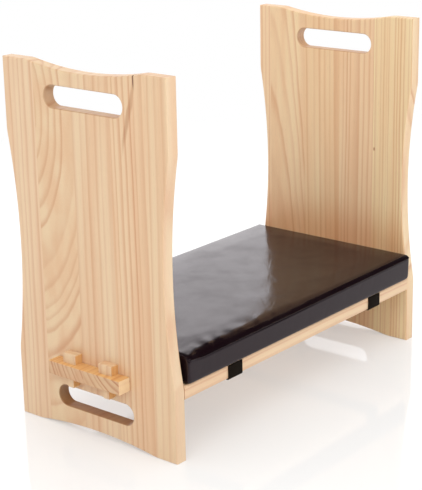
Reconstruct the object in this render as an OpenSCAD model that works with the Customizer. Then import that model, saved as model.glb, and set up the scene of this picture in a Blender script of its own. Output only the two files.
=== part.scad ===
// Garden kneeler of solid pine. Two waisted side panels stand at the ends of a seat board, whose wide
// tenons pass right through them and are locked outside by loose T-shaped pegs. A strapped-on cushion
// covers the board. Stood on its head, the same piece is a low bench with the board near the top.
// Millimetres. X runs along the seat, the front is -Y, and the floor is Z = 0 below the middle.

/* [Side panels] */
// Height of each side panel
panel_h = 480; // [440:1:540]
// Width of each side panel and of the seat board, front to back
panel_w = 270; // [250:1:300]
// Thickness of the side panels
panel_t = 18; // [16:0.5:22]
// Clear distance between the two panels
seat_span = 508; // [440:1:600]
// Height of the hollow in each upright edge, from knee to knee
waist_len = 291; // [250:1:320]
// Depth of the hollow in each upright edge
waist_depth = 13; // [6:0.5:18]
// Width of the scoop in the top edge
crest_len = 190; // [150:1:220]
// Depth of the scoop in the top edge
crest_depth = 9.5; // [5:0.5:14]
// Width of the arch between the two feet
arch_len = 200; // [150:1:220]
// Depth of the arch between the two feet
arch_depth = 8; // [4:0.5:12]
// Radius of the blended knees at both ends of every hollow
knee_r = 45; // [20:1:80]

/* [Hand slots] */
// Length of each hand slot, end to end
slot_w = 130; // [110:1:150]
// Height of each hand slot
slot_h = 28; // [24:1:30]
// From the top of the panel down to the middle of the upper slot
grip_drop = 42; // [36:1:60]
// From the floor up to the middle of the lower slot
foot_slot_rise = 45; // [36:1:47]

/* [Seat board] */
// Height of the board's underside above the floor
seat_z = 80; // [79:1:110]
// Thickness of the board and its tenons
seat_t = 18; // [16:0.5:22]

/* [Tenons and pegs] */
// Width of each tenon
tenon_w = 122; // [112:1:140]
// How far a tenon stands out of the panel
tenon_out = 20; // [18:0.5:28]
// Gap round a tenon in its mortise
mortise_play = 0.3; // [0.2:0.05:0.6]
// Thickness of a peg, along the seat
peg_t = 12; // [10:0.5:13]
// Width of a peg's shank
shank_w = 11; // [9:0.5:14]
// Width of a peg's head
head_w = 22; // [18:0.5:26]
// Height of a peg's head above the tenon
head_h = 13; // [10:0.5:18]
// How far a shank reaches below the tenon
peg_below = 15; // [10:0.5:16]
// Distance between the two pegs of a tenon, middle to middle
peg_span = 62; // [52:1:76]
// Gap between a shank and its slot, and between a peg and the panel
peg_play = 0.3; // [0.2:0.05:0.5]
// How far a peg slot runs back inside the panel, so that the peg draws the joint tight
peg_draw = 1.5; // [0.5:0.25:3]
// Bevel on a peg's edges
peg_bevel = 1; // [0.5:0.25:1.5]

/* [Wood edges] */
// Radius of the eased edges of panels and board
edge_r = 2; // [1:0.25:3]
// Radius of the eased end of each tenon
tenon_edge_r = 1; // [0.5:0.25:2]

/* [Cushion] */
// Gap between the cushion's left end and the left panel
cushion_left_gap = 5; // [1:0.5:30]
// Gap between the cushion's right end and the right panel
cushion_right_gap = 1; // [1:0.5:30]
// How far the cushion reaches past the board at the front and at the rear
cushion_overhang = 3.5; // [3:0.25:6]
// Height from the cushion's base to its seam
cushion_edge_h = 36.5; // [20:0.5:45]
// Rise of the padded top above the seam
crown = 4; // [2:0.5:12]
// How far the sides pull in between the corners
side_draw = 2; // [0.5:0.25:4]
// Radius of the cushion's corners
cushion_corner_r = 4; // [3.5:0.5:16]
// Thickness of the cover
cover_t = 1.2; // [0.8:0.1:2]
// Diameter of the raised seam round the top
welt_d = 3; // [2:0.25:4.5]
// Gap between the cushion and the board
cushion_gap = 0.3; // [0.2:0.05:1]

/* [Straps] */
// Width of each elastic strap
strap_w = 28; // [20:1:40]
// Thickness of the elastic
strap_t = 1.4; // [1:0.1:2.5]
// From the cushion's left end to the middle of the left strap
strap_left_inset = 93; // [40:1:160]
// From the cushion's right end to the middle of the right strap
strap_right_inset = 90; // [40:1:160]
// Gap between a strap and the board
strap_gap = 0.3; // [0.2:0.05:0.6]

/* [Hidden] */

// Glue lines between the staves, as shares of the board's width from front to rear
left_glue = [-0.5, -0.375, -0.16, 0.07, 0.305, 0.5];
right_glue = [-0.5, -0.265, -0.045, 0.19, 0.425, 0.5];
seat_glue = [-0.5, -0.26, 0, 0.26, 0.5];

// Faces and levels that several pieces share
inner_x = seat_span/2;
outer_x = inner_x + panel_t;
tenon_x = outer_x + tenon_out;
half_w = panel_w/2;
seat_top = seat_z + seat_t;
peg_x = outer_x + peg_play;
cushion_z = seat_top + cushion_gap;
cushion_len = seat_span - cushion_left_gap - cushion_right_gap;
cushion_w = panel_w + 2*cushion_overhang;
cushion_x = (cushion_left_gap - cushion_right_gap)/2; // its middle

// An eased edge leaves the two faces at a slight angle, as a worn cutter does: its centre lies this
// share of the radius inside each face
ease_inset = 0.97;
knee_ease = 0.3; // the blended knees are eased this much more than the edges that they join
over = 2; // how far a cutter reaches past the wood
margin = 4; // spare wood that the edge cutters trim off
fine = 720; // segments of the long shallow arcs
arc = 48; // segments of small arcs
soft_gap = 0.3; // gap between neighbouring pieces of the cushion
corner_steps = 4; // spans round each corner of the cushion
corner_min_r = 3; // smallest corner of an inner outline
side_steps = 6; // spans along each side
crown_run = 60; // how far in from the edge the top keeps rising
crown_steps = 4; // rings over the crown
boxing_puff = 1.8; // how far the boxing's rims draw in
strap_bend = 1; // inner radius of a strap's corners

// Section of the air beside an eased edge. The wood lies at negative x, t thick, with its edge on
// x = 0; the section reaches out to x = reach and curls r round both corners of the wood.
module air_section(t, r, reach) {
    inset = r*ease_inset;
    translate([0, -t/2 - over]) square([reach, t + 2*over]);
    for (side = [0, 1])
        mirror([0, side]) translate([-inset, t/2 - inset])
            difference() {
                square([inset + reach/4, inset + over]);
                circle(r, $fn = arc);
            }
}

// The same air, mirrored so that it fills the inside of a round hole or hollow of the given radius
module hollow_section(radius, t, r, reach) {
    translate([radius, 0]) mirror([1, 0]) air_section(t, r, reach);
}

// The next three cutters work on a board that lies flat: its edge runs along Y at x = 0, the wood is
// at negative x, and its thickness is centred on Z = 0.

// Trims a straight edge and eases its two corners
module edge_cutter(len, t, r) {
    rotate([90, 0, 0])
        linear_extrude(len + 2*margin + 2*over, center = true) air_section(t, r, margin + over);
}

// Cuts a shallow circular hollow, len across at the edge line and depth deep, with eased corners.
// Each knee is blended by a short flat at half the angle, laid against a circle of knee_r in the wood.
module hollow_cutter(len, depth, t, r) {
    radius = (len*len/4 + depth*depth)/(2*depth);
    half_angle = acos((radius - depth)/(radius + r)) + 0.25;
    translate([radius - depth, 0, 0]) rotate([0, 0, 180 - half_angle])
        rotate_extrude(angle = 2*half_angle, $fn = fine) hollow_section(radius, t, r, depth + over);
    knee_s = sqrt(pow(radius + knee_r, 2) - pow(radius - depth + knee_r, 2));
    knee_turn = atan(knee_s/(radius - depth + knee_r));
    for (side = [0, 1])
        mirror([0, side, 0]) translate([-knee_r, knee_s, 0]) rotate([0, 0, -knee_turn/2])
            translate([knee_r, 0, 0]) edge_cutter(2*knee_r*tan(knee_turn/2), t, r + knee_ease);
}

// Cuts a hand slot with round ends and eased rims, its length along Y and its middle on the origin
module slot_cutter(t, r) {
    run = slot_w - slot_h;
    rotate([90, 0, 0]) linear_extrude(run, center = true)
        for (side = [0, 1]) mirror([side, 0]) hollow_section(slot_h/2, t, r, slot_h/2);
    for (side = [-1, 1])
        translate([0, side*run/2, 0]) rotate_extrude($fn = 2*arc)
            intersection() {
                hollow_section(slot_h/2, t, r, slot_h/2);
                translate([0, -t/2 - over]) square([slot_h, t + 2*over]);
            }
}

// One whole side panel, lying flat: the foot is at x = 0 and the top edge at x = panel_h
module panel_blank() {
    difference() {
        translate([-margin, -half_w - margin, -panel_t/2])
            cube([panel_h + 2*margin, panel_w + 2*margin, panel_t]);
        for (side = [-1, 1])
            translate([panel_h/2, side*half_w, 0]) rotate([0, 0, side*90]) {
                edge_cutter(panel_h, panel_t, edge_r);
                hollow_cutter(waist_len, waist_depth, panel_t, edge_r);
            }
        translate([panel_h, 0, 0]) {
            edge_cutter(panel_w, panel_t, edge_r);
            hollow_cutter(crest_len, crest_depth, panel_t, edge_r);
        }
        rotate([0, 0, 180]) {
            edge_cutter(panel_w, panel_t, edge_r);
            hollow_cutter(arch_len, arch_depth, panel_t, edge_r);
        }
        translate([panel_h - grip_drop, 0, 0]) slot_cutter(panel_t, edge_r);
        translate([foot_slot_rise, 0, 0]) slot_cutter(panel_t, edge_r);
        translate([seat_z - mortise_play, -tenon_w/2 - mortise_play, -panel_t/2 - over])
            cube([seat_t + 2*mortise_play, tenon_w + 2*mortise_play, panel_t + 2*over]);
    }
}

// One stave of a panel, between two glue lines, stood up in its place
module panel_stave(side, glue, i) {
    color("burlywood")
        translate([side*(inner_x + panel_t/2), 0, 0]) rotate([0, -90, 0])
            intersection() {
                panel_blank();
                translate([-margin - over, glue[i]*panel_w - (i == 0 ? margin : 0), -panel_t])
                    cube([panel_h + 2*(margin + over),
                        (glue[i + 1] - glue[i])*panel_w + (i == 0 || i == len(glue) - 2 ? margin : 0),
                        2*panel_t]);
            }
}

// The whole seat board with its tenons and peg slots, lying in its place but centred on Z = 0
module seat_blank() {
    difference() {
        translate([-inner_x, -half_w - margin, -seat_t/2]) cube([seat_span, panel_w + 2*margin, seat_t]);
        for (side = [-1, 1])
            translate([0, side*half_w, 0]) rotate([0, 0, side*90]) edge_cutter(seat_span, seat_t, edge_r);
    }
    for (end = [0, 1])
        mirror([end, 0, 0])
            difference() {
                translate([inner_x, -tenon_w/2, -seat_t/2]) cube([tenon_x + margin - inner_x, tenon_w, seat_t]);
                translate([tenon_x, 0, 0]) edge_cutter(tenon_w, seat_t, tenon_edge_r);
                for (side = [-1, 1])
                    translate([outer_x - peg_draw, side*peg_span/2 - shank_w/2 - peg_play, -seat_t/2 - over])
                        cube([peg_draw + peg_t + 2*peg_play, shank_w + 2*peg_play, seat_t + 2*over]);
            }
}

// One stave of the seat board, between two glue lines
module seat_stave(i) {
    color("wheat")
        translate([0, 0, seat_z + seat_t/2])
            intersection() {
                seat_blank();
                translate([-tenon_x - margin, seat_glue[i]*panel_w, -seat_t])
                    cube([2*(tenon_x + margin), (seat_glue[i + 1] - seat_glue[i])*panel_w, 2*seat_t]);
            }
}

// A T-shaped peg: the head rests on the tenon and the shank goes down through it, beside the panel
module peg(end, side) {
    shank_len = seat_t + peg_below;
    outline = [
        [-shank_w/2, -shank_len + 2*peg_bevel], [-shank_w/2 + peg_bevel, -shank_len],
        [shank_w/2 - peg_bevel, -shank_len], [shank_w/2, -shank_len + 2*peg_bevel],
        [shank_w/2, 0], [head_w/2, 0], [head_w/2, head_h - peg_bevel],
        [head_w/2 - peg_bevel, head_h], [-head_w/2 + peg_bevel, head_h],
        [-head_w/2, head_h - peg_bevel], [-head_w/2, 0], [-shank_w/2, 0]];
    side_outline = [
        [peg_bevel, -shank_len], [peg_t - peg_bevel, -shank_len], [peg_t, -shank_len + 2*peg_bevel],
        [peg_t, head_h - peg_bevel], [peg_t - peg_bevel, head_h], [peg_bevel, head_h],
        [0, head_h - peg_bevel], [0, -shank_len + 2*peg_bevel]];
    color("moccasin")
        mirror([end < 0 ? 1 : 0, 0, 0]) translate([peg_x, side*peg_span/2, seat_top])
            intersection() {
                rotate([90, 0, 90]) linear_extrude(peg_t) polygon(outline);
                rotate([90, 0, 0]) linear_extrude(head_w + 2*over, center = true) polygon(side_outline);
            }
}

// Outline of the cushion at one level, drawn in from the full size by inset. The four sides bow
// inwards by bow at their middles.
function cushion_outline(inset, bow) =
    let (r = max(cushion_corner_r - inset, corner_min_r),
        x = cushion_len/2 - inset - r, y = cushion_w/2 - inset - r,
        centres = [[x, y], [-x, y], [-x, -y], [x, -y]])
    [for (q = [0:3]) each concat(
        [for (k = [0:corner_steps]) let (a = 90*(q + k/corner_steps)) centres[q] + r*[cos(a), sin(a)]],
        [for (j = [1:side_steps - 1])
            let (u = j/side_steps, out = [cos(90*(q + 1)), sin(90*(q + 1))])
            centres[q]*(1 - u) + centres[(q + 1)%4]*u + (r - 4*bow*u*(1 - u))*out])];

// The same outline as points in space, z above the cushion's base
function cushion_ring(inset, z, bow = 0) =
    [for (p = cushion_outline(inset, bow)) [p[0] + cushion_x, p[1], cushion_z + z]];

// A closed skin through rings of points. Looped rings run up the outside and down the inside of a
// band; other rings run from a top cap, out over the edge and back to a bottom cap.
module skin(rings, looped) {
    n = len(rings[0]);
    m = len(rings);
    last = looped ? m - 1 : m - 2;
    sides = [for (i = [0:last], j = [0:n - 1]) let (i2 = (i + 1)%m, j2 = (j + 1)%n)
        each [[i*n + j, i2*n + j, i*n + j2], [i*n + j2, i2*n + j, i2*n + j2]]];
    caps = looped ? [] : [[for (j = [0:n - 1]) j], [for (j = [n - 1:-1:0]) (m - 1)*n + j]];
    polyhedron([for (ring = rings) each ring], concat(sides, caps));
}

// Height of the padded top above the seam, this far in from the cushion's edge
function swell(inset) = crown*(1 - pow(1 - min(inset/crown_run, 1), 2.6));

// Rings over the padded top from its middle outwards, at this depth below the outer face
function top_rings(depth, first_inset) =
    [for (k = [crown_steps:-1:0])
        let (inset = first_inset + (crown_run - first_inset)*pow(k/crown_steps, 1.7))
        cushion_ring(inset, cushion_edge_h + swell(inset) - depth, side_draw)];

// Top sheet of the cover: crowned, and held down along the seam
module cushion_top_cover() {
    outer = top_rings(0, welt_d + soft_gap);
    inner = top_rings(cover_t, welt_d + soft_gap);
    color([0.10, 0.09, 0.10]) skin(concat(outer, [for (k = [crown_steps:-1:0]) inner[k]]), false);
}

// Boxing strip round the sides, a closed band between the base and the seam
module cushion_boxing() {
    top = cushion_edge_h - welt_d/2 - soft_gap;
    rims = [[boxing_puff, 0], [0, top/2], [boxing_puff, top]];
    outer = [for (rim = rims) cushion_ring(rim[0], rim[1], side_draw)];
    inner = [for (k = [2:-1:0]) cushion_ring(rims[k][0] + cover_t, rims[k][1], side_draw)];
    color([0.12, 0.11, 0.12]) skin(concat(outer, inner), true);
}

// Base sheet of the cover, flat on the seat board inside the boxing
module cushion_base_cover() {
    inset = boxing_puff + cover_t + soft_gap;
    color([0.14, 0.13, 0.14])
        translate([cushion_x, 0, cushion_z])
            linear_extrude(cover_t) polygon(cushion_outline(inset, side_draw));
}

// Raised seam between the boxing and the top sheet
module cushion_welt() {
    color([0.08, 0.07, 0.08])
        skin([for (a = [0:60:300])
            cushion_ring(welt_d/2 - welt_d/2*cos(a), cushion_edge_h + welt_d/2*sin(a), side_draw)], true);
}

// Foam core, with the cushion's own form inside the cover
module cushion_foam() {
    gap = cover_t + soft_gap;
    side_inset = boxing_puff + gap;
    top = top_rings(gap, welt_d + 2*soft_gap);
    low = cushion_ring(side_inset, gap, side_draw);
    high = cushion_ring(side_inset, cushion_edge_h - welt_d/2 - gap, side_draw);
    color("lightyellow") skin(concat(top, [high, low]), false);
}

// Band round the underside of the board: a U of elastic whose ends meet the cushion's base
module strap(side) {
    inside = [panel_w + 2*strap_gap, seat_t + 2*strap_gap];
    strap_x = cushion_x + side*(cushion_len/2 - (side < 0 ? strap_left_inset : strap_right_inset));
    color([0.06, 0.06, 0.06])
        translate([strap_x, 0, seat_z - strap_gap]) rotate([90, 0, 90])
            linear_extrude(strap_w, center = true)
                difference() {
                    translate([-inside[0]/2 - strap_t, -strap_t])
                        bent_corners(inside[0] + 2*strap_t, inside[1] - strap_gap + strap_t, strap_bend + strap_t);
                    translate([-inside[0]/2, 0]) bent_corners(inside[0], inside[1] + over, strap_bend);
                }
}

// A rectangle from the origin whose two lower corners are round
module bent_corners(w, h, r) {
    translate([0, r]) square([w, h - r]);
    translate([r, 0]) square([w - 2*r, r + 1]);
    for (x = [r, w - r]) translate([x, r]) circle(r, $fn = arc);
}

panel_stave(-1, left_glue, 0);  // left_panel_stave_1
panel_stave(-1, left_glue, 1);  // left_panel_stave_2
panel_stave(-1, left_glue, 2);  // left_panel_stave_3
panel_stave(-1, left_glue, 3);  // left_panel_stave_4
panel_stave(-1, left_glue, 4);  // left_panel_stave_5
panel_stave(1, right_glue, 0);  // right_panel_stave_1
panel_stave(1, right_glue, 1);  // right_panel_stave_2
panel_stave(1, right_glue, 2);  // right_panel_stave_3
panel_stave(1, right_glue, 3);  // right_panel_stave_4
panel_stave(1, right_glue, 4);  // right_panel_stave_5
seat_stave(0);  // seat_board_stave_1
seat_stave(1);  // seat_board_stave_2
seat_stave(2);  // seat_board_stave_3
seat_stave(3);  // seat_board_stave_4
peg(-1, -1);  // peg_left_front
peg(-1, 1);  // peg_left_rear
peg(1, -1);  // peg_right_front
peg(1, 1);  // peg_right_rear
cushion_foam();
cushion_top_cover();
cushion_boxing();
cushion_base_cover();
cushion_welt();
strap(-1);  // strap_left
strap(1);  // strap_right
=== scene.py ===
"""Garden kneeler: finishes, cushion, straps and a plain studio, laid out as an add-on."""

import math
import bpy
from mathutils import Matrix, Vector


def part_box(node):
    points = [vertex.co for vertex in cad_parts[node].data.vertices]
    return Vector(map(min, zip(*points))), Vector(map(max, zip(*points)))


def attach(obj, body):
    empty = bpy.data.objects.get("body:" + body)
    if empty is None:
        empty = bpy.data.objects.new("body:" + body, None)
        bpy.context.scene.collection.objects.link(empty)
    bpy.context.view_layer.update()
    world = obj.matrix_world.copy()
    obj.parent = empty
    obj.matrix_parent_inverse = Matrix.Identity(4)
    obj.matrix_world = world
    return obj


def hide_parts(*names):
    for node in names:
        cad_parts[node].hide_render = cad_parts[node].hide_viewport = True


bl_info = {
    "name": "Garden Kneeler",
    "version": (1, 0, 0),
    "blender": (4, 5, 0),
    "location": "View3D > Sidebar > Kneeler",
    "description": "Dresses a pine garden kneeler and sets up its studio",
    "category": "Object",
}

import bmesh
import bpy
from bpy.props import FloatProperty, FloatVectorProperty, PointerProperty
from mathutils import Euler, Vector, noise

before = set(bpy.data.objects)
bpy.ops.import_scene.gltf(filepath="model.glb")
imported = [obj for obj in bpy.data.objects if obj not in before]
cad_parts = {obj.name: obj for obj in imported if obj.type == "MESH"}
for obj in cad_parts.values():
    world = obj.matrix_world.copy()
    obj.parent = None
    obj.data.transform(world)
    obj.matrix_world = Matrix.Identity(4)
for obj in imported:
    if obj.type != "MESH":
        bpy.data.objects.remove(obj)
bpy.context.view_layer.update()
MM = 0.001

# Places in the part's own frame, in metres
PANEL_INSIDE = 0.254
PANEL_OUTSIDE = 0.272
LOWER_SLOT, UPPER_SLOT = 0.045, 0.438
SMALL_KNOT = (PANEL_INSIDE, -0.0735, 0.2855)

# Noise scales in the pine, per millimetre: across the trunk twice, then along it
BOW_SCALE = (0.006, 0.006, 0.0016)
WAVER_SCALE = (0.05, 0.05, 0.009)
PATCH_SCALE = (0.02, 0.02, 0.004)
BLUSH_SCALE = (0.035, 0.035, 0.0022)
FIBRE_SCALE = (1.3, 1.3, 0.03)
PORE_SCALE = (2.4, 2.4, 0.09)

# Tones that multiply the wood: end grain of boards, end grain of upright pieces with painted light on the
# crests, sawn faces, painted shade above the cushion and on slot walls, and painted light and shade on the
# front and rear edges of the two panels
BOARD_END_TONE = (0.86, 0.80, 0.78, 1)
# End grain of upright pieces is kept lighter than a board's: painted light for the overhead light on the
# crests.
UPRIGHT_END_TONE_WITH_PAINTED_LIGHT = (1.0, 0.97, 0.94, 1)
SAWN_TONE = (1.02, 0.80, 0.46, 1)
SHADE_ABOVE_CUSHION_TONE = (0.90, 0.73, 0.64, 1)
SLOT_SHADE_TONE = (0.50, 0.36, 0.25, 1)
LEFT_EDGE_PAINTED_LIGHT = (1.045, 1.065, 1.11, 1)
RIGHT_EDGE_PAINTED_SHADE = (0.94, 0.925, 0.99, 1)

# Plain colours: sawn top and planed sides of a tenon, reddish wood at a knot
SAWN_COLOUR = (0.80, 0.46, 0.17, 1)
PLANED_COLOUR = (0.98, 0.76, 0.48, 1)
RED_WOOD = (0.42, 0.17, 0.07)

# How each stave was sawn. The pith is a point on the heart line of the trunk, in millimetres, and lean
# turns that line away from the stave's length, in degrees. Ring is the width of a year, in millimetres.
# Waver is how much the rings ripple, in millimetres, where it isn't USUAL_WAVER.
USUAL_WAVER = 2.6
PANEL_STAVES = {
    "left_panel_stave_1": dict(
        pith=(-250, -330, 240), lean=(0.3, -0.2), ring=11, contrast=0.5, tone=(1.0, 1.0, 0.99), seed=3),
    "left_panel_stave_2": dict(
        pith=(-240, 150, 240), lean=(-0.4, 0.3), ring=9, contrast=0.7, tone=(1.0, 0.97, 0.95), seed=11),
    "left_panel_stave_3": dict(
        pith=(-290, -260, 240), lean=(0.2, 0.2), ring=13, contrast=0.5, tone=(1.0, 1.0, 1.0), seed=23),
    "left_panel_stave_4": dict(
        pith=(-191, 104, 250), lean=(0.0, -25.5), ring=12.5, contrast=0.6,
        tone=(1.0, 1.0, 0.98), waver=3.0, seed=31),
    "left_panel_stave_5": dict(
        pith=(-225, 300, 240), lean=(0.2, -0.3), ring=8, contrast=0.5, tone=(1.02, 1.02, 1.04), seed=47),
    # The right panel's staves have lighter tones than the left panel's: painted light, making up for the shade
    # on the right panel's inner face.
    "right_panel_stave_1": dict(
        pith=(300, -330, 240), lean=(0.15, 0.1), ring=5.5, contrast=0.75, tone=(1.15, 1.23, 1.16), seed=53),
    "right_panel_stave_2": dict(
        pith=(340, 160, 240), lean=(0.5, 0.4), ring=9, contrast=0.6, tone=(1.12, 1.09, 1.05), seed=61),
    "right_panel_stave_3": dict(
        pith=(210, -230, 240), lean=(-0.5, -0.4), ring=10, contrast=0.55, tone=(1.14, 1.14, 1.07), seed=79),
    "right_panel_stave_4": dict(
        pith=(370, 124, 240), lean=(0.0, 3.2), ring=6.5, contrast=0.6, tone=(1.14, 1.14, 1.09), seed=83),
    "right_panel_stave_5": dict(
        pith=(260, 320, 240), lean=(0.3, 0.2), ring=7, contrast=0.7, tone=(1.15, 1.11, 1.08), seed=97),
}
BOARD_STAVES = {
    "seat_board_stave_1": dict(
        pith=(0, -40, -60), lean=(0.3, 0.4), ring=7, contrast=0.45, tone=(1.05, 1.04, 1.05), seed=101),
    "seat_board_stave_2": dict(
        pith=(0, -88, 152), lean=(0.2, -0.3), ring=7.5, contrast=1.0, tone=(1.0, 0.97, 0.9), seed=107),
    "seat_board_stave_3": dict(
        pith=(0, -104, 146), lean=(-0.2, 0.3), ring=7.0, contrast=1.0, tone=(1.0, 0.96, 0.9), seed=113),
    "seat_board_stave_4": dict(
        pith=(0, 60, 190), lean=(0.3, 0.2), ring=8, contrast=0.8, tone=(1.0, 0.98, 0.96), seed=127),
}
PEGS = {
    "peg_left_front": dict(
        pith=(-330, -60, 90), lean=(1.0, 0.6), ring=6, contrast=0.6, tone=(1.0, 0.97, 0.93), seed=131),
    "peg_left_rear": dict(
        pith=(-350, 10, 90), lean=(-0.8, 1.2), ring=7, contrast=0.6, tone=(1.0, 0.98, 0.95), seed=137),
    "peg_right_front": dict(
        pith=(330, -70, 90), lean=(0.6, -1.0), ring=6, contrast=0.6, tone=(1.0, 0.97, 0.94), seed=139),
    "peg_right_rear": dict(
        pith=(240, 60, 90), lean=(0.9, 0.5), ring=6.5, contrast=0.6, tone=(1.0, 0.98, 0.93), seed=149),
}


class KneelerPine(bpy.types.PropertyGroup):
    """Colours and finish of the pine"""

    early_wood: FloatVectorProperty(
        name="Early wood", description="Pale wood between the year rings", subtype="COLOR",
        default=(0.80, 0.60, 0.39), min=0, max=1)
    late_wood: FloatVectorProperty(
        name="Late wood", description="Darker line that ends each year", subtype="COLOR",
        default=(0.60, 0.295, 0.155), min=0, max=1)
    blush: FloatVectorProperty(
        name="Blush", description="Pinkish tone that drifts through the pale wood", subtype="COLOR",
        default=(0.76, 0.51, 0.315), min=0, max=1)
    resin: FloatVectorProperty(
        name="Resin", description="Resin streak and knot", subtype="COLOR",
        default=(0.16, 0.06, 0.03), min=0, max=1)
    wander: FloatProperty(
        name="Wander", description="How far the rings stray from true circles, in millimetres",
        default=9, min=0, max=30)


class KneelerCushion(bpy.types.PropertyGroup):
    """Size and finish of the cushion"""

    vinyl: FloatVectorProperty(
        name="Vinyl", description="Colour of the imitation leather", subtype="COLOR",
        default=(0.0075, 0.003, 0.0046), min=0, max=1)
    gloss_roughness: FloatProperty(
        name="Roughness", description="Roughness of the vinyl's gloss", subtype="FACTOR",
        default=0.2, min=0, max=1)
    roll: FloatProperty(
        name="Roll", description="How far in from the front edge the top rolls over", subtype="DISTANCE",
        default=12 * MM, min=6 * MM, max=20 * MM)
    swell: FloatProperty(
        name="Swell", description="How far the padding may push the cover out", subtype="DISTANCE",
        default=2 * MM, min=0, max=8 * MM)
    grid: FloatProperty(
        name="Grid", description="Mesh size of the sewn cover", subtype="DISTANCE",
        default=4.5 * MM, min=3 * MM, max=10 * MM)


class KneelerStudio(bpy.types.PropertyGroup):
    """Floor, light and camera"""

    floor: FloatVectorProperty(
        name="Floor", description="Colour of the pale floor", subtype="COLOR",
        default=(0.935, 0.94, 0.94), min=0, max=1)
    floor_roughness: FloatProperty(
        name="Floor roughness", description="Roughness of the floor's polish", subtype="FACTOR",
        default=0.06, min=0, max=1)
    # floor glow is painted light: white mixed into the floor under the object lightens the object's shadow
    floor_glow: FloatProperty(
        name="Floor glow", description="How far the floor under the object is faded to white", subtype="FACTOR",
        default=0.37, min=0, max=1)
    horizon: FloatProperty(
        name="Horizon", description="Strength of the soft light from low down all round",
        default=0.75, min=0, max=3)
    ambient: FloatProperty(
        name="Ambient", description="Strength of the soft light from overhead",
        default=1.03, min=0, max=3)
    camera_place: FloatVectorProperty(
        name="Camera place", description="Where the camera stands", subtype="TRANSLATION",
        unit="LENGTH", default=(-1.47887, -1.19621, 0.78312))
    camera_turn: FloatVectorProperty(
        name="Camera turn", description="How the camera is turned", subtype="EULER",
        unit="ROTATION", default=tuple(math.radians(a) for a in (72.672, 1.103, -50.697)))
    lens: FloatProperty(
        name="Lens", description="Focal length, in millimetres", default=105.8, min=20, max=300)


def add_node(tree, kind, inputs=None, **settings):
    """Adds a node, sets its options, and joins or sets the inputs that are named."""
    node = tree.nodes.new(kind)
    for option, value in settings.items():
        setattr(node, option, value)
    for name, value in (inputs or {}).items():
        if isinstance(value, bpy.types.NodeSocket):
            tree.links.new(value, node.inputs[name])
        else:
            node.inputs[name].default_value = value
    return node


def calc(tree, operation, *values):
    """Output of one Math node."""
    return add_node(tree, "ShaderNodeMath", dict(enumerate(values)), operation=operation).outputs[0]


def hypotenuse(tree, a, b):
    """Length of the long side over two sides at a right angle."""
    return calc(tree, "SQRT", calc(tree, "ADD", calc(tree, "MULTIPLY", a, a), calc(tree, "MULTIPLY", b, b)))


def vector_calc(tree, operation, *values):
    """Output of one Vector Math node."""
    node = add_node(tree, "ShaderNodeVectorMath", dict(enumerate(values)), operation=operation)
    return node.outputs["Value" if operation in ("LENGTH", "DOT_PRODUCT") else "Vector"]


def ramp_between(tree, value, low, high, to_low=0.0, to_high=1.0):
    """A smooth step from to_low to to_high as value goes from low to high."""
    node = add_node(
        tree, "ShaderNodeMapRange",
        {"Value": value, "From Min": low, "From Max": high, "To Min": to_low, "To Max": to_high},
        interpolation_type="SMOOTHSTEP")
    return node.outputs["Result"]


def cloud(tree, vector, scale, detail=2.0, roughness=0.5):
    """A noise texture, read at a vector that is first scaled along each axis."""
    stretched = vector_calc(tree, "MULTIPLY", vector, scale)
    return add_node(
        tree, "ShaderNodeTexNoise",
        {"Vector": stretched, "Scale": 1.0, "Detail": detail, "Roughness": roughness})


def mix_colour(tree, factor, a, b, blend_type="MIX"):
    """Output of one colour Mix node."""
    node = add_node(tree, "ShaderNodeMix", data_type="RGBA", blend_type=blend_type)
    for socket, value in ((node.inputs[0], factor), (node.inputs[6], a), (node.inputs[7], b)):
        if isinstance(value, bpy.types.NodeSocket):
            tree.links.new(value, socket)
        else:
            socket.default_value = value
    return node.outputs[2]


def tone_where(tree, mask, wood, tone):
    """The wood, multiplied by a tone as far as the mask says."""
    return mix_colour(tree, mask, wood, mix_colour(tree, 1.0, wood, tone, "MULTIPLY"))


def new_group(name, inputs, outputs):
    """An empty node group with named sockets. Returns the group, its inputs and its outputs."""
    group = bpy.data.node_groups.new(name, "ShaderNodeTree")
    for label, kind, default in inputs:
        socket = group.interface.new_socket(label, in_out="INPUT", socket_type="NodeSocket" + kind)
        socket.default_value = default
    for label, kind in outputs:
        group.interface.new_socket(label, in_out="OUTPUT", socket_type="NodeSocket" + kind)
    return group, group.nodes.new("NodeGroupInput").outputs, group.nodes.new("NodeGroupOutput").inputs


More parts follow.
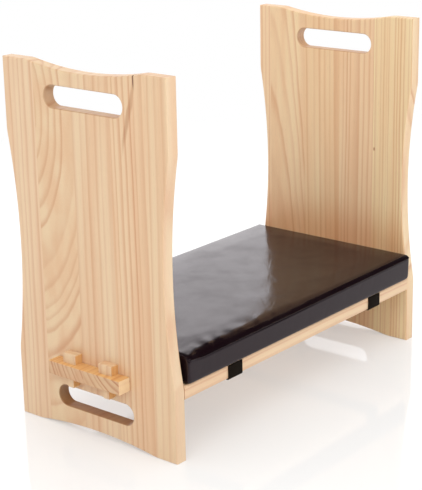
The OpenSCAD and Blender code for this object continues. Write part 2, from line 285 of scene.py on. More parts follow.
def growth_rings():
    """Node group: year rings of a trunk whose heart line is the vector's Z axis."""
    if "Growth rings" in bpy.data.node_groups:
        return bpy.data.node_groups["Growth rings"]
    group, given, out = new_group(
        "Growth rings",
        [("Vector", "Vector", (0, 0, 0)), ("Trunk axis", "Vector", (0, 0, 1)), ("Ring width", "Float", 6),
         ("Wander", "Float", 8), ("Waver", "Float", USUAL_WAVER), ("Contrast", "Float", 1),
         ("Seed", "Float", 0),
         ("Early wood", "Color", (1, 1, 1, 1)), ("Late wood", "Color", (1, 1, 1, 1)),
         ("Blush", "Color", (1, 1, 1, 1)), ("End tone", "Color", (1, 1, 1, 1))],
        [("Color", "Color"), ("Roughness", "Float"), ("Height", "Float")])
    in_mm = vector_calc(group, "SCALE", given["Vector"])
    in_mm.node.inputs["Scale"].default_value = 1000
    offset = add_node(group, "ShaderNodeCombineXYZ", {"X": given["Seed"], "Z": given["Seed"]}).outputs[0]
    offset = vector_calc(group, "MULTIPLY", offset, (17.0, 0.0, 39.0))
    place = vector_calc(group, "ADD", in_mm, offset)
    middle = (0.5, 0.5, 0.5)
    bow = vector_calc(group, "SUBTRACT", cloud(group, place, BOW_SCALE).outputs["Color"], middle)
    bow = vector_calc(group, "SCALE", bow)
    group.links.new(given["Wander"], bow.node.inputs["Scale"])
    waver = vector_calc(group, "SUBTRACT", cloud(group, place, WAVER_SCALE).outputs["Color"], middle)
    waver = vector_calc(group, "SCALE", vector_calc(group, "MULTIPLY", waver, (1, 1, 0)))
    group.links.new(given["Waver"], waver.node.inputs["Scale"])
    bent = vector_calc(group, "ADD", vector_calc(group, "ADD", in_mm, bow), waver)
    across = vector_calc(group, "LENGTH", vector_calc(group, "MULTIPLY", bent, (1, 1, 0)))
    years = calc(group, "DIVIDE", across, given["Ring width"])
    uneven = add_node(
        group, "ShaderNodeTexNoise",
        {"W": calc(group, "MULTIPLY_ADD", years, 0.31, given["Seed"]), "Scale": 1.0, "Detail": 1.0},
        noise_dimensions="1D").outputs["Fac"]
    years = calc(group, "MULTIPLY_ADD", uneven, 2.2, years)
    year = calc(group, "FLOOR", years)
    season = calc(group, "FRACT", years)
    luck = add_node(
        group, "ShaderNodeTexWhiteNoise", {"W": calc(group, "ADD", year, given["Seed"])},
        noise_dimensions="1D").outputs["Value"]
    darkening = ramp_between(group, season, 0.3, 0.84)
    late = calc(group, "MULTIPLY", darkening, ramp_between(group, season, 0.8, 1.0, 1.0, 0.0))
    late = calc(group, "POWER", late, 1.3)
    patch = cloud(group, place, PATCH_SCALE).outputs["Fac"]
    late = calc(group, "MULTIPLY", late, calc(group, "MULTIPLY_ADD", luck, 0.8, 0.4))
    late = calc(group, "MULTIPLY", late, calc(group, "MULTIPLY_ADD", patch, 0.9, 0.5))
    late = calc(group, "MULTIPLY", late, given["Contrast"])
    tide = ramp_between(group, cloud(group, place, BLUSH_SCALE).outputs["Fac"], 0.35, 0.68)
    pale = mix_colour(group, tide, given["Early wood"], given["Blush"])
    wood = mix_colour(group, late, pale, given["Late wood"])
    fibre = cloud(group, place, FIBRE_SCALE, detail=3.0, roughness=0.6).outputs["Fac"]
    shade = calc(group, "MULTIPLY_ADD", fibre, 0.16, 0.92)
    pore = ramp_between(group, cloud(group, place, PORE_SCALE, detail=1.0).outputs["Fac"], 0.64, 0.74)
    shade = calc(group, "SUBTRACT", shade, calc(group, "MULTIPLY", pore, 0.10))
    facing = add_node(group, "ShaderNodeTexCoord").outputs["Normal"]
    end = calc(group, "ABSOLUTE", vector_calc(group, "DOT_PRODUCT", facing, given["Trunk axis"]))
    end = ramp_between(group, end, 0.5, 0.95)
    wood = mix_colour(group, 1.0, wood, shade, "MULTIPLY")
    wood = tone_where(group, end, wood, given["End tone"])
    group.links.new(wood, out["Color"])
    rough = calc(group, "MULTIPLY_ADD", late, -0.08, 0.42)
    group.links.new(calc(group, "MULTIPLY_ADD", end, 0.16, rough), out["Roughness"])
    group.links.new(calc(group, "MULTIPLY_ADD", late, 0.3, fibre), out["Height"])
    return group


def resin_mark():
    """Node group: a soft oval mark on a face, read in Y and Z, which may lean and waver."""
    if "Resin mark" in bpy.data.node_groups:
        return bpy.data.node_groups["Resin mark"]
    group, given, out = new_group(
        "Resin mark",
        [("Vector", "Vector", (0, 0, 0)), ("Middle", "Vector", (0, 0, 0)), ("Half length", "Float", 0.01),
         ("Half width", "Float", 0.001), ("Lean", "Float", 0), ("Waver", "Float", 0.001)],
        [("Mask", "Float")])
    flat = vector_calc(group, "SUBTRACT", given["Vector"], given["Middle"])
    axes = add_node(group, "ShaderNodeSeparateXYZ", {0: flat}).outputs
    wave = cloud(group, given["Vector"], (60, 60, 40)).outputs["Fac"]
    side = calc(group, "MULTIPLY_ADD", axes["Z"], calc(group, "MULTIPLY", given["Lean"], -1), axes["Y"])
    side = calc(group, "ADD", side, calc(group, "MULTIPLY", calc(group, "SUBTRACT", wave, 0.5), given["Waver"]))
    across = calc(group, "DIVIDE", calc(group, "ABSOLUTE", side), given["Half width"])
    along = calc(group, "DIVIDE", calc(group, "ABSOLUTE", axes["Z"]), given["Half length"])
    reach = hypotenuse(group, across, along)
    group.links.new(ramp_between(group, reach, 0.35, 1.1, 1.0, 0.0), out["Mask"])
    return group


def slot_shade_mask():
    """Node group: mask of the walls inside a slot that runs across a panel at one height, for painted shade."""
    if "Slot wall shade" in bpy.data.node_groups:
        return bpy.data.node_groups["Slot wall shade"]
    group, given, out = new_group(
        "Slot wall shade",
        [("Vector", "Vector", (0, 0, 0)), ("Height", "Float", LOWER_SLOT), ("Half run", "Float", 0.051),
         ("Reach", "Float", 0.0145)],
        [("Mask", "Float")])
    axes = add_node(group, "ShaderNodeSeparateXYZ", {0: given["Vector"]}).outputs
    off_middle = calc(group, "ABSOLUTE", axes["Y"])
    past = calc(group, "MAXIMUM", calc(group, "SUBTRACT", off_middle, given["Half run"]), 0.0)
    rise = calc(group, "SUBTRACT", axes["Z"], given["Height"])
    reach = hypotenuse(group, past, rise)
    beyond = calc(group, "SUBTRACT", reach, given["Reach"])
    group.links.new(ramp_between(group, beyond, 0.0, 0.0008, 1.0, 0.0), out["Mask"])
    return group


def shader(material):
    """Gives a new material its Principled shader and returns the tree and the shader."""
    material.use_nodes = True
    tree = material.node_tree
    tree.nodes.clear()
    surface = tree.nodes.new("ShaderNodeBsdfPrincipled")
    output = tree.nodes.new("ShaderNodeOutputMaterial")
    tree.links.new(surface.outputs[0], output.inputs["Surface"])
    return tree, surface


def tinted(colour, tone):
    """A colour multiplied by a tone, with alpha."""
    return tuple(min(c * t, 1.0) for c, t in zip(colour, tone)) + (1.0,)


def shade_above_cushion(tree, axes):
    """Mask of the panels' inner faces just above the cushion, for painted shade where the cushion and seat
    shade the wood.
    """
    inside = ramp_between(
        tree, calc(tree, "ABSOLUTE", axes["X"]), PANEL_INSIDE + 0.001, PANEL_INSIDE + 0.003, 1.0, 0.0)
    above = ramp_between(tree, axes["Z"], 0.095, 0.13)
    band = calc(tree, "MULTIPLY", above, ramp_between(tree, axes["Z"], 0.14, 0.215, 1.0, 0.0))
    return calc(tree, "MULTIPLY", inside, band)


def facing_along(tree, facing, axis):
    """Mask of the faces that look along one axis."""
    return ramp_between(tree, calc(tree, "ABSOLUTE", facing[axis]), 0.6, 0.9)


def pine(name, sawn, run, marks=(), slots=(), sawn_face=None):
    """Pine for one stave or peg. Run is the axis that its trunk follows before it leans.

    Each mark is (middle, half length, half width, lean, waver, depth, colour), each slot is (height, depth
    of the painted shade on its walls), and sawn_face is the axis that faces left as the saw cut them look
    along.
    Of a board that runs along X, only what stands out of the panels is sawn and planed afresh.
    """
    look = bpy.context.scene.kneeler_pine
    material = bpy.data.materials.new(name + "_pine")
    tree, surface = shader(material)
    lean_x, lean_y = (math.radians(a) for a in sawn["lean"])
    turn = Euler((lean_x, lean_y + (math.pi / 2 if run == "X" else 0), 0))
    axis = turn.to_matrix() @ Vector((0, 0, 1))
    surroundings = add_node(tree, "ShaderNodeTexCoord").outputs
    place = surroundings["Object"]
    axes = add_node(tree, "ShaderNodeSeparateXYZ", {0: place}).outputs
    facing = add_node(tree, "ShaderNodeSeparateXYZ", {0: surroundings["Normal"]}).outputs
    mapping = add_node(
        tree, "ShaderNodeMapping",
        {"Vector": place, "Location": tuple(c * MM for c in sawn["pith"]), "Rotation": tuple(turn)},
        vector_type="TEXTURE")
    rings = add_node(tree, "ShaderNodeGroup", node_tree=growth_rings())
    for socket, value in (
            ("Trunk axis", tuple(axis)), ("Ring width", sawn["ring"]), ("Wander", look.wander),
            ("Waver", sawn.get("waver", USUAL_WAVER)), ("Contrast", sawn["contrast"]), ("Seed", sawn["seed"]),
            ("Early wood", tinted(look.early_wood, sawn["tone"])),
            ("Late wood", tinted(look.late_wood, sawn["tone"])),
            ("Blush", tinted(look.blush, sawn["tone"])),
            ("End tone", BOARD_END_TONE if run == "X" else UPRIGHT_END_TONE_WITH_PAINTED_LIGHT)):
        rings.inputs[socket].default_value = value
    tree.links.new(mapping.outputs[0], rings.inputs["Vector"])
    wood = rings.outputs["Color"]
    for middle, half_length, half_width, lean, waver, depth, colour in marks:
        mark = add_node(tree, "ShaderNodeGroup", node_tree=resin_mark())
        for socket, value in (
                ("Middle", middle), ("Half length", half_length), ("Half width", half_width),
                ("Lean", lean), ("Waver", waver)):
            mark.inputs[socket].default_value = value
        tree.links.new(place, mark.inputs["Vector"])
        mask = calc(tree, "MULTIPLY", mark.outputs["Mask"], depth)
        wood = mix_colour(tree, mask, wood, tuple(colour) + (1,))
    # painted shade on the walls inside each slot
    for height, depth in slots:
        walls = add_node(tree, "ShaderNodeGroup", node_tree=slot_shade_mask())
        walls.inputs["Height"].default_value = height
        tree.links.new(place, walls.inputs["Vector"])
        wood = tone_where(tree, calc(tree, "MULTIPLY", walls.outputs["Mask"], depth), wood, SLOT_SHADE_TONE)
    if slots:
        # painted shade on the panels' inner faces just above the cushion
        wood = tone_where(tree, shade_above_cushion(tree, axes), wood, SHADE_ABOVE_CUSHION_TONE)
        # painted light on the left panel's front and rear edges, painted shade on the right panel's
        edge_painted_light = mix_colour(tree, ramp_between(tree, axes["X"], -0.1, 0.1), LEFT_EDGE_PAINTED_LIGHT, RIGHT_EDGE_PAINTED_SHADE)
        wood = tone_where(tree, facing_along(tree, facing, "Y"), wood, edge_painted_light)
    fresh = 0.85
    if run == "X":
        fresh = calc(tree, "MULTIPLY", fresh, ramp_between(
            tree, calc(tree, "ABSOLUTE", axes["X"]), PANEL_OUTSIDE - 0.0005, PANEL_OUTSIDE + 0.0015))
    if sawn_face:
        sawn_wood = mix_colour(tree, 1.0, wood, SAWN_TONE, "MULTIPLY")
        sawn_wood = mix_colour(tree, 0.45, sawn_wood, SAWN_COLOUR)
        wood = mix_colour(
            tree, calc(tree, "MULTIPLY", facing_along(tree, facing, sawn_face), fresh), wood, sawn_wood)
    if run == "X":
        wood = mix_colour(
            tree, calc(tree, "MULTIPLY", facing_along(tree, facing, "Y"), fresh), wood, PLANED_COLOUR)
    tree.links.new(wood, surface.inputs["Base Color"])
    tree.links.new(rings.outputs["Roughness"], surface.inputs["Roughness"])
    relief = add_node(
        tree, "ShaderNodeBump", {"Height": rings.outputs["Height"], "Strength": 0.12, "Distance": 0.0004})
    tree.links.new(relief.outputs[0], surface.inputs["Normal"])
    surface.inputs["IOR"].default_value = 1.45
    surface.inputs["Coat Weight"].default_value = 0.15
    surface.inputs["Coat Roughness"].default_value = 0.3
    return material


def finish_node(name, material):
    """Puts one material on a CAD node."""
    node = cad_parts[name]
    if node.material_slots:
        for slot in node.material_slots:
            slot.material = material
    else:
        node.data.materials.append(material)


def start_piece():
    """Leaves edit mode and deselects everything."""
    if bpy.context.object and bpy.context.object.mode != "OBJECT":
        bpy.ops.object.mode_set(mode="OBJECT")
    bpy.ops.object.select_all(action="DESELECT")


def select_only(piece):
    """Makes one piece the selected and active one, in object mode."""
    start_piece()
    bpy.context.view_layer.objects.active = piece
    piece.select_set(True)


def name_piece(name):
    """Names the piece that was just added, and its mesh."""
    piece = bpy.context.object
    piece.name = name
    piece.data.name = name
    return piece


def edit(piece):
    """Enters edit mode on one piece, to select edges."""
    select_only(piece)
    bpy.ops.object.mode_set(mode="EDIT")
    bpy.ops.mesh.select_mode(type="EDGE")


def pick(piece, test):
    """In edit mode, selects only the edges that pass a test of their two ends."""
    mesh = bmesh.from_edit_mesh(piece.data)
    for part in (mesh.verts, mesh.edges, mesh.faces):
        for item in part:
            item.select = False
    count = 0
    for edge in mesh.edges:
        if test(edge.verts[0].co, edge.verts[1].co):
            edge.select_set(True)
            count += 1
    bmesh.update_edit_mesh(piece.data)
    if not count:
        raise RuntimeError(f"no edge of {piece.name} was found to select")


def apply_modifier(piece, kind, **settings):
    """Adds a modifier with bpy.ops, sets it and applies it."""
    select_only(piece)
    bpy.ops.object.modifier_add(type=kind)
    modifier = piece.modifiers[-1]
    for option, value in settings.items():
        setattr(modifier, option, value)
    bpy.ops.object.modifier_apply(modifier=modifier.name)


def place_piece(piece):
    """Puts a piece's place into its mesh, so that its object sits at the origin."""
    select_only(piece)
    bpy.ops.object.transform_apply(location=True, rotation=True, scale=True)


def cushion_box():
    """Lowest and highest corner of the whole cushion."""
    corners = [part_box(f"cushion_{part}") for part in ("top_cover", "boxing", "base_cover", "welt")]
    return (Vector([min(c[0][i] for c in corners) for i in range(3)]),
            Vector([max(c[1][i] for c in corners) for i in range(3)]))


def seam_height():
    """Height of the seam between the cushion's top and its sides."""
    return sum(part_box("cushion_welt")[i].z for i in (0, 1)) / 2


def vinyl(name):
    """Glossy black-brown imitation leather with creases and a fine grain."""
    look = bpy.context.scene.kneeler_cushion
    material = bpy.data.materials.new(name)
    tree, surface = shader(material)
    place = add_node(tree, "ShaderNodeTexCoord").outputs["Object"]
    grain = add_node(
        tree, "ShaderNodeTexVoronoi",
        {"Vector": vector_calc(tree, "MULTIPLY", place, (760, 760, 760)), "Scale": 1.0},
        feature="SMOOTH_F1").outputs["Distance"]
    turned = add_node(
        tree, "ShaderNodeMapping", {"Vector": place, "Rotation": (0, 0, math.radians(-40))}).outputs[0]
    crease = cloud(tree, turned, (12, 48, 20), detail=2.0, roughness=0.5).outputs["Fac"]
    crease = calc(tree, "ABSOLUTE", calc(tree, "SUBTRACT", crease, 0.5))
    crease = ramp_between(tree, crease, 0.0, 0.10)
    sag = cloud(tree, turned, (5, 16, 9), detail=1.0).outputs["Fac"]
    height = calc(tree, "MULTIPLY_ADD", crease, 0.3, calc(tree, "MULTIPLY", grain, 0.04))
    height = calc(tree, "MULTIPLY_ADD", sag, 1.6, height)
    relief = add_node(tree, "ShaderNodeBump", {"Height": height, "Strength": 0.3, "Distance": 0.0005})
    wear = cloud(tree, place, (26, 26, 26), detail=3.0).outputs["Fac"]
    rough = ramp_between(tree, wear, 0.3, 0.75, look.gloss_roughness - 0.05, look.gloss_roughness + 0.07)
    dull, worn = (0.85, 0.85, 0.85), (1.25, 1.2, 1.2)
    tone = mix_colour(tree, wear, tinted(look.vinyl, dull), tinted(look.vinyl, worn))
    tree.links.new(tone, surface.inputs["Base Color"])
    tree.links.new(rough, surface.inputs["Roughness"])
    tree.links.new(relief.outputs[0], surface.inputs["Normal"])
    surface.inputs["IOR"].default_value = 1.39
    surface.inputs["Specular Tint"].default_value = (1, 0.825, 0.92, 1)
    return material


def hump(x, middle, spread):
    """A smooth hump of height 1 round a middle."""
    return math.exp(-((x - middle) / spread) ** 2)


def front_roll(x, low):
    """How far in the top rolls over the front edge here, how far it falls, and how full the roll is.

    The cover is slackest left of the middle, and both the reach and the fall grow towards the left, up to
    the corner, where the seam holds the cover up.
    """
    slack = hump(x, -55 * MM, 75 * MM)
    corner = hump(x, low.x + 3 * MM, 15 * MM)
    reach = bpy.context.scene.kneeler_cushion.roll + 6 * MM * slack - 0.01 * x
    fall = 9.8 * MM - 0.01 * x
    return reach * (1 - 0.65 * corner), fall * (1 - 0.35 * corner), 1 + 0.12 * slack


def lay_over(place, low, high):
    """Lays one point of the cover over the front edge and the left end, and lets the top sway."""
    held = low.z + 5 * MM
    if place.z < held:
        return
    share = min((place.z - held) / (high.z - 0.5 * MM - held), 1)
    reach, fall, power = front_roll(place.x, low)
    inside = max(place.y - low.y, 0) / reach
    if inside < 1:
        turn = inside * math.pi / 2
        place.y = low.y + reach * ((1 - math.cos(turn) ** power) * share + inside * (1 - share))
        place.z -= fall * (1 - math.sin(turn) ** power) * share
    end_reach, end_fall = 7 * MM, 4 * MM
    inside = max(place.x - low.x, 0) / end_reach
    if inside < 1:
        turn = inside * math.pi / 2
        place.x = low.x + end_reach * ((1 - math.cos(turn)) * share + inside * (1 - share))
        place.z -= end_fall * (1 - math.sin(turn)) * share
    along, across = 0.78 * place.x + 0.63 * place.y, 0.78 * place.y - 0.63 * place.x
    sway = noise.noise(Vector((along * 7, across * 24, 3.1)))
    sway += 0.4 * noise.noise(Vector((along * 18, across * 60, 8.7)))
    place.z += 0.2 * MM * sway * share * min(max(place.y - low.y, 0) / (12 * MM), 1)
    by_roll = hump(place.y, low.y + 15 * MM, 12 * MM)
    left_half = 1 / (1 + math.exp((place.x - 30 * MM) / (30 * MM)))
    pucker = noise.noise(Vector((along * 40, across * 90, 5.3)))
    place.z += 0.7 * MM * pucker * by_roll * left_half * share


def blow_up(cover, rest, frames=20):
    """Lets the sewn cover swell over its padding, then keeps every point within the set distance."""
    look = bpy.context.scene.kneeler_cushion
    pins = cover.vertex_groups.new(name="held")
    low, high = cushion_box()
    seam = seam_height()
    for point in cover.data.vertices:
        x, y, z = point.co
        edge = min(x - low.x, high.x - x, y - low.y, high.y - y)
        on_side = edge < 3 * MM
        sewn = z < low.z + 4 * MM or (on_side and abs(z - seam) < 4 * MM)
        pins.add([point.index], 1.0 if sewn else 0.6 if on_side else 0.0, "REPLACE")
    select_only(cover)
    bpy.ops.object.modifier_add(type="CLOTH")
    cloth = cover.modifiers[-1]
    cloth.settings.quality = 5
    cloth.settings.mass = 0.25
    cloth.settings.tension_stiffness = 12
    cloth.settings.compression_stiffness = 12
    cloth.settings.bending_stiffness = 0.8
    cloth.settings.vertex_group_mass = pins.name
    cloth.settings.use_pressure = True
    cloth.settings.uniform_pressure_force = 3.0
    cloth.settings.effector_weights.gravity = 0
    cloth.point_cache.frame_start = 1
    cloth.point_cache.frame_end = frames
    for step in range(1, frames + 1):
        bpy.context.scene.frame_set(step)
    bpy.ops.object.modifier_apply(modifier=cloth.name)
    bpy.context.scene.frame_set(1)
    for point, start in zip(cover.data.vertices, rest):
        moved = point.co - start
        if moved.length > look.swell:
            point.co = start + moved * (look.swell / moved.length)


class KNEELER_OT_side_panels(bpy.types.Operator):
    """Gives each stave of the two side panels its own pine"""

    bl_idname = "kneeler.side_panels"
    bl_label = "Side Panels"

    def execute(self, context):
        resin = context.scene.kneeler_pine.resin
        streaks = [
            ((-PANEL_OUTSIDE, -0.0742, 0.428), 0.052, 0.0045, -0.26, 0.004, 0.5, RED_WOOD),
            ((-PANEL_OUTSIDE, -0.0840, 0.474), 0.015, 0.0013, 0.03, 0.001, 0.95, resin)]
        knot = [(SMALL_KNOT, 0.0036, 0.0020, 0.0, 0.001, 0.8, RED_WOOD)]
        marks = {"left_panel_stave_2": streaks, "right_panel_stave_1": knot, "right_panel_stave_2": knot}
        # height of each slot and how deep the painted shade on its walls is
        slots = ((LOWER_SLOT, 0.95), (UPPER_SLOT, 0.45))
        for name, sawn in PANEL_STAVES.items():
            finish_node(name, pine(name, sawn, "Z", marks.get(name, ()), slots))
        return {"FINISHED"}


class KNEELER_OT_seat_board(bpy.types.Operator):
    """Gives each stave of the seat board and its tenons its own pine"""

    bl_idname = "kneeler.seat_board"
    bl_label = "Seat Board"

    def execute(self, context):
        for name, sawn in BOARD_STAVES.items():
            finish_node(name, pine(name, sawn, "X", sawn_face="Z"))
        return {"FINISHED"}


class KNEELER_OT_pegs(bpy.types.Operator):
    """Gives each peg its own pine"""

    bl_idname = "kneeler.pegs"
    bl_label = "Pegs"

    def execute(self, context):
        for name, sawn in PEGS.items():
            finish_node(name, pine(name, sawn, "Z", sawn_face="Y"))
        return {"FINISHED"}


class KNEELER_OT_cushion(bpy.types.Operator):
    """Sews the cushion's cover and lets it swell over the foam"""

    bl_idname = "kneeler.cushion"
    bl_label = "Cushion"

    def execute(self, context):
        look = context.scene.kneeler_cushion
        low, high = cushion_box()
        seam = seam_height()
        size = Vector((high.x - low.x, high.y - low.y, seam - low.z))
        start_piece()
        bpy.ops.mesh.primitive_cube_add(size=1, location=(low + Vector((high.x, high.y, seam))) / 2)
        cover = name_piece("cushion_cover")
        bpy.ops.transform.resize(value=size)
        place_piece(cover)
        edit(cover)
        pick(cover, lambda a, b: abs(a.z - b.z) > 0.01)
        bpy.ops.mesh.bevel(offset=3 * MM, offset_type="OFFSET", segments=3)
        pick(cover, lambda a, b: max(a.z, b.z) < low.z + 1e-5)
        bpy.ops.mesh.bevel(offset=2.5 * MM, offset_type="OFFSET", segments=2)
        pick(cover, lambda a, b: min(a.z, b.z) > seam - 1e-5)
        bpy.ops.mesh.select_mode(type="FACE")
        rise = high.z + 0.6 * MM - seam
        for width, share in ((1.2 * MM, 0.6), (9 * MM, 0.25), (30 * MM, 0.15)):
            bpy.ops.mesh.inset(thickness=width, depth=share * rise, use_even_offset=True)
        bpy.ops.object.mode_set(mode="OBJECT")
        cover.data.remesh_voxel_size = look.grid
        cover.data.remesh_voxel_adaptivity = 0
        bpy.ops.object.voxel_remesh()
        rest = [point.co.copy() for point in cover.data.vertices]
        blow_up(cover, rest)
        apply_modifier(cover, "SUBSURF", levels=1, render_levels=1)
        for point in cover.data.vertices:
            point.co.x = min(max(point.co.x, low.x - 0.2 * MM), high.x + 0.2 * MM)
            point.co.y = min(max(point.co.y, low.y - 0.4 * MM), high.y + 0.6 * MM)
            point.co.z = max(point.co.z, low.z)
            lay_over(point.co, low, high)
        bpy.ops.object.shade_smooth()
        cover.data.materials.append(vinyl("cushion_vinyl"))
        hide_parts("cushion_top_cover", "cushion_boxing", "cushion_base_cover", "cushion_foam")
        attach(cover, "root")
        return {"FINISHED"}


class KNEELER_OT_seam(bpy.types.Operator):
    """Lays the raised seam round the top of the cushion"""

    bl_idname = "kneeler.seam"
    bl_label = "Seam"

    def execute(self, context):
        low, high = cushion_box()
        level = low.z + 20 * MM
        near = 8 * MM
        select_only(bpy.data.objects["cushion_cover"])
        bpy.ops.object.duplicate()
        welt = name_piece("cushion_seam")
        edit(welt)
        bpy.ops.mesh.select_all(action="SELECT")
        bpy.ops.mesh.bisect(plane_co=(0, 0, level), plane_no=(0, 0, 1), clear_inner=True, clear_outer=True)
        bpy.ops.object.mode_set(mode="OBJECT")
        for point in welt.data.vertices:
            place = point.co
            near_front = max(1 - (place.y - low.y) / near, 0)
            near_far_sides = max(1 - min(high.y - place.y, high.x - place.x) / near, 0)
            front_drop = 0.6 * front_roll(place.x, low)[1] * near_front
            far_drop = 1.3 * MM * min(near_far_sides, 1)
            place.z = seam_height() - max(front_drop, far_drop)
        select_only(welt)
        bpy.ops.object.convert(target="CURVE")
        welt = bpy.context.object
        welt.data.bevel_depth = 0.7 * MM
        welt.data.bevel_resolution = 2
        bpy.ops.object.convert(target="MESH")
        welt = name_piece("cushion_seam")
        bpy.ops.object.shade_smooth()
        welt.data.materials.clear()
        welt.data.materials.append(vinyl("seam_vinyl"))
        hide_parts("cushion_welt")
        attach(welt, "root")
        return {"FINISHED"}


def elastic():
    """Black woven elastic with lengthwise ribs."""
    material = bpy.data.materials.new("black_elastic")
    tree, surface = shader(material)
    place = add_node(tree, "ShaderNodeTexCoord").outputs["Object"]
    axes = add_node(tree, "ShaderNodeSeparateXYZ", {0: place}).outputs
    rib_pitch, weft_pitch = 1.4 * MM, 0.9 * MM
    rib = calc(tree, "SINE", calc(tree, "MULTIPLY", axes["X"], 2 * math.pi / rib_pitch))
    run = calc(tree, "ADD", axes["Y"], axes["Z"])
    weft = calc(tree, "SINE", calc(tree, "MULTIPLY", run, 2 * math.pi / weft_pitch))
    weave = calc(tree, "MULTIPLY_ADD", weft, 0.35, rib)
    fuzz = cloud(tree, place, (900, 900, 900)).outputs["Fac"]
    # the weave's valleys are darker than its ribs: painted shade
    shaded_valley, on_rib = (0.0018, 0.001, 0.0008, 1), (0.009, 0.005, 0.0034, 1)
    tone = mix_colour(tree, ramp_between(tree, weave, -1.3, 1.3), shaded_valley, on_rib)
    rough = ramp_between(tree, fuzz, 0.3, 0.7, 0.65, 0.85)
    relief = add_node(tree, "ShaderNodeBump", {"Height": weave, "Strength": 0.5, "Distance": 0.0002})
    tree.links.new(tone, surface.inputs["Base Color"])
    tree.links.new(rough, surface.inputs["Roughness"])
    tree.links.new(relief.outputs[0], surface.inputs["Normal"])
    surface.inputs["IOR"].default_value = 1.25
    surface.inputs["Specular Tint"].default_value = (1, 0.76, 0.48, 1)
    return material


class KNEELER_OT_straps(bpy.types.Operator):
    """Stretches the two elastic straps round the seat board"""

    bl_idname = "kneeler.straps"
    bl_label = "Straps"

    def execute(self, context):
        band = elastic()
        thick = 1.4 * MM
        for side in ("left", "right"):
            low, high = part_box("strap_" + side)
            under, outer = low.z + 2 * thick, high.y - 2 * thick
            start_piece()
            bpy.ops.mesh.primitive_plane_add(
                size=1, location=((low.x + high.x) / 2, (low.y + high.y) / 2, low.z + thick))
            strap = name_piece(f"strap_{side}_elastic")
            bpy.ops.transform.resize(value=(high.x - low.x, high.y - low.y - 2 * thick, 1))
            place_piece(strap)
            edit(strap)
            for end in (-1, 1):
                pick(strap, lambda a, b: min(end * a.y, end * b.y) > outer and max(a.z, b.z) < under)
                bpy.ops.mesh.extrude_region_move(
                    TRANSFORM_OT_translate={"value": (0, 0, high.z - low.z - thick)})
            pick(strap, lambda a, b: abs(a.y - b.y) < 1e-6 and max(a.z, b.z) < under)
            bpy.ops.mesh.bevel(offset=1.2 * MM, offset_type="OFFSET", segments=4)
            bpy.ops.mesh.select_all(action="SELECT")
            bpy.ops.mesh.normals_make_consistent(inside=False)
            bpy.ops.object.mode_set(mode="OBJECT")
            apply_modifier(strap, "SOLIDIFY", thickness=thick, offset=1.0)
            crisp = math.radians(50)
            apply_modifier(strap, "BEVEL", width=0.35 * MM, segments=2, limit_method="ANGLE", angle_limit=crisp)
            bpy.ops.object.shade_smooth_by_angle(angle=crisp)
            strap.data.materials.append(band)
            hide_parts("strap_" + side)
            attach(strap, "root")
        return {"FINISHED"}


def polished_floor():
    """Pale polished floor that fades to plain white away from the object, with white mixed in under the object
    as painted light that lightens the object's shadow.
    """
    look = bpy.context.scene.kneeler_studio
    material = bpy.data.materials.new("polished_floor")
    tree, surface = shader(material)
    surface.inputs["Base Color"].default_value = tuple(look.floor) + (1,)
    surface.inputs["Roughness"].default_value = look.floor_roughness
    surface.inputs["IOR"].default_value = 1.55
    place = add_node(tree, "ShaderNodeTexCoord").outputs["Object"]
    away = vector_calc(tree, "LENGTH", vector_calc(tree, "MULTIPLY", place, (0.8, 1.0, 0.0)))
    # seen by the camera and in reflections, the floor is mixed with white: plain backdrop far off, painted
    # light on the object's shadow near it
    far = ramp_between(tree, away, 0.35, 1.5, look.floor_glow, 1.0)
    rays = add_node(tree, "ShaderNodeLightPath").outputs
    seen = calc(tree, "MAXIMUM", rays["Is Camera Ray"], rays["Is Glossy Ray"])
    white = add_node(tree, "ShaderNodeEmission", {"Color": (1, 1, 1, 1), "Strength": 1.0}).outputs[0]
    blend = add_node(tree, "ShaderNodeMixShader", {0: calc(tree, "MULTIPLY", far, seen)})
    tree.links.new(surface.outputs[0], blend.inputs[1])
    tree.links.new(white, blend.inputs[2])
    tree.links.new(blend.outputs[0], tree.nodes["Material Output"].inputs["Surface"])
    return material


def area_lamp(name, place, aim, size, watts, colour=(1, 1, 1)):
    """A soft rectangular lamp at one point, aimed at another."""
    start_piece()
    bpy.ops.object.light_add(type="AREA", location=place)
    lamp = bpy.context.object
    lamp.name = name
    lamp.data.shape = "RECTANGLE"
    lamp.data.size, lamp.data.size_y = size
    lamp.data.energy = watts
    lamp.data.color = colour
    lamp.rotation_euler = (Vector(aim) - Vector(place)).to_track_quat("-Z", "Y").to_euler()
    lamp.visible_camera = False


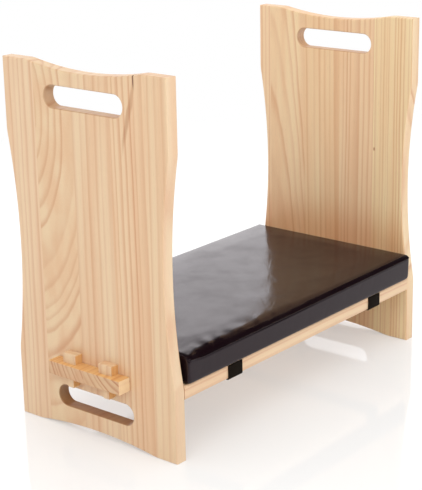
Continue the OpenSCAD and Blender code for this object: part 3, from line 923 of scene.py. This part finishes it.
class KNEELER_OT_stage(bpy.types.Operator):
    """Sets up the floor, the light and the camera"""

    bl_idname = "kneeler.stage"
    bl_label = "Stage"

    def execute(self, context):
        look = context.scene.kneeler_studio
        context.scene.view_settings.view_transform = "Standard"
        start_piece()
        bpy.ops.mesh.primitive_plane_add(size=14, location=(0, 0, 0))
        floor = name_piece("studio_floor")
        floor.data.materials.append(polished_floor())
        world = bpy.data.worlds.new("studio_air")
        context.scene.world = world
        world.use_nodes = True
        tree = world.node_tree
        tree.nodes.clear()
        rays = add_node(tree, "ShaderNodeLightPath").outputs
        surroundings = add_node(tree, "ShaderNodeTexCoord").outputs
        way = add_node(tree, "ShaderNodeSeparateXYZ", {0: surroundings["Generated"]}).outputs
        soft = add_node(tree, "ShaderNodeBackground", {
            "Color": (1, 0.98, 0.96, 1),
            "Strength": ramp_between(tree, way["Z"], 0.1, 0.6, look.horizon, look.ambient)})
        sweep = calc(
            tree, "MULTIPLY", ramp_between(tree, way["Z"], 0.40, 0.55, 1.0, 0.04),
            ramp_between(tree, way["Y"], -0.3, 0.2, 0.04, 1.0))
        backdrop = add_node(tree, "ShaderNodeBackground", {"Color": (1, 1, 1, 1)})
        tree.links.new(sweep, backdrop.inputs["Strength"])
        white = add_node(tree, "ShaderNodeBackground", {"Color": (1, 1, 1, 1), "Strength": 1.0})
        glossy = add_node(
            tree, "ShaderNodeMixShader", {0: rays["Is Glossy Ray"], 1: soft.outputs[0], 2: backdrop.outputs[0]})
        seen = calc(tree, "MAXIMUM", rays["Is Camera Ray"], rays["Is Transmission Ray"])
        final = add_node(tree, "ShaderNodeMixShader", {0: seen, 1: glossy.outputs[0], 2: white.outputs[0]})
        output = add_node(tree, "ShaderNodeOutputWorld")
        tree.links.new(final.outputs[0], output.inputs["Surface"])
        area_lamp("key", (-1.9, -0.9, 2.0), (0, 0, 0.2), (1.8, 1.8), 15.2)
        area_lamp("front", (0.2, -2.4, 1.2), (0, 0, 0.1), (1.8, 1.2), 12)
        area_lamp("backdrop", (1.9, 2.3, 0.9), (0, 0, 0.3), (3.6, 1.6), 19, (1, 0.96, 0.99))
        start_piece()
        bpy.ops.object.camera_add(location=look.camera_place, rotation=look.camera_turn)
        camera = bpy.context.object
        camera.name = "studio_camera"
        camera.data.lens = look.lens
        context.scene.camera = camera
        return {"FINISHED"}


class KNEELER_PT_panel(bpy.types.Panel):
    """Lists the steps and the values of the kneeler"""

    bl_idname = "KNEELER_PT_panel"
    bl_label = "Garden Kneeler"
    bl_space_type = "VIEW_3D"
    bl_region_type = "UI"
    bl_category = "Kneeler"

    def draw(self, context):
        for group in ("kneeler_pine", "kneeler_cushion", "kneeler_studio"):
            values = getattr(context.scene, group)
            box = self.layout.box()
            for value in values.bl_rna.properties:
                if value.identifier not in ("rna_type", "name"):
                    box.prop(values, value.identifier)
        for step in STEPS:
            self.layout.operator(step.bl_idname)


STEPS = (KNEELER_OT_stage, KNEELER_OT_side_panels, KNEELER_OT_seat_board, KNEELER_OT_pegs,
         KNEELER_OT_cushion, KNEELER_OT_seam, KNEELER_OT_straps)
GROUPS = (("kneeler_pine", KneelerPine), ("kneeler_cushion", KneelerCushion), ("kneeler_studio", KneelerStudio))


def register():
    for name, group in GROUPS:
        bpy.utils.register_class(group)
        setattr(bpy.types.Scene, name, PointerProperty(type=group))
    for step in STEPS:
        bpy.utils.register_class(step)
    bpy.utils.register_class(KNEELER_PT_panel)


def unregister():
    bpy.utils.unregister_class(KNEELER_PT_panel)
    for step in reversed(STEPS):
        bpy.utils.unregister_class(step)
    for name, group in reversed(GROUPS):
        delattr(bpy.types.Scene, name)
        bpy.utils.unregister_class(group)


def main():
    register()
    for step in STEPS:
        area, verb = step.bl_idname.split(".")
        getattr(getattr(bpy.ops, area), verb)()


if __name__ == "__main__":
    main()
